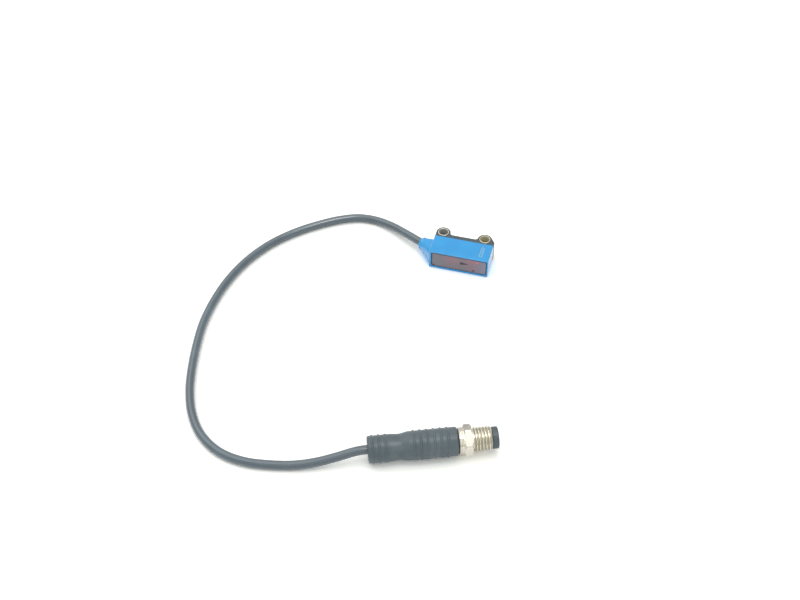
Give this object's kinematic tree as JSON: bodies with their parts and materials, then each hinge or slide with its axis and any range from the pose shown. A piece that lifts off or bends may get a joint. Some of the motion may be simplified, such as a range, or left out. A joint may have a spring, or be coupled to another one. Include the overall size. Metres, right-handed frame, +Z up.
{
  "type": "diffuse photoelectric sensor",
  "caption": "Miniature diffuse photoelectric sensor head with a red window and two mounting ears, on a short cable that ends in a round screw plug.",
  "frame": {"origin": "bottom centre of the box round the sensor head, without the cable and its plug; the head lies on its lower side face", "axes": "+X along the head from the cable end to the far end, +Y from the window back to the mounting ears, +Z up out of the upper side face"},
  "size_m": [0.1121, 0.1216, 0.0101],
  "materials": {
    "blue_plastic": "satin moulded",
    "dark_red_window": "polished, dark red",
    "black_plastic": "fine moulded grain",
    "plated_brass": "nickel plated, turned",
    "black_inner_plastic": "matt",
    "clear_lens": "polished clear",
    "red_led": "moulded epoxy",
    "photodiode": "dark resin",
    "circuit_board": "solder mask",
    "chip_resin": "matt resin",
    "green_led": "moulded epoxy",
    "yellow_led": "moulded epoxy",
    "light_guide": "milky translucent",
    "black_rubber": "matt",
    "cable_jacket": "satin extruded jacket",
    "brown_insulation": "extruded",
    "white_insulation": "extruded",
    "blue_insulation": "extruded",
    "black_insulation": "extruded",
    "plug_moulding": "satin moulded",
    "contact_plastic": "satin moulded",
    "gold_plate": "gold plated",
    "nickel_plate": "nickel plated, turned"
  },
  "bodies": {
    "sensor": {"housing": "blue_plastic", "front_window": "dark_red_window", "rear_cover": "black_plastic", "cable_side_bushing": "plated_brass", "far_side_bushing": "plated_brass", "optics_carrier": "black_inner_plastic", "emitter_lens": "clear_lens", "receiver_lens": "clear_lens", "emitter_led": "red_led", "receiver_photodiode": "photodiode", "circuit_board": "circuit_board", "evaluation_chip": "chip_resin", "power_led": "green_led", "signal_led": "yellow_led", "indicator_light_guide": "light_guide", "cable_seal": "black_rubber", "cable": "cable_jacket", "brown_core": "brown_insulation", "white_core": "white_insulation", "blue_core": "blue_insulation", "black_core": "black_insulation", "brown_plug_core": "brown_insulation", "white_plug_core": "white_insulation", "blue_plug_core": "blue_insulation", "black_plug_core": "black_insulation", "plug_body": "plug_moulding", "contact_carrier": "contact_plastic", "contact_pin_1": "gold_plate", "contact_pin_2": "gold_plate", "contact_pin_3": "gold_plate", "contact_pin_4": "gold_plate"},
    "coupling_screw": {"coupling_screw": "nickel_plate"}
  },
  "joints": [
    {"name": "coupling_screw_turn", "type": "hinge", "parent": "sensor", "child": "coupling_screw", "pos_m": [0.02311, -0.08486, 0.00505], "axis": [0.9309, 0.3648, 0.0167], "continuous": true}
  ]
}
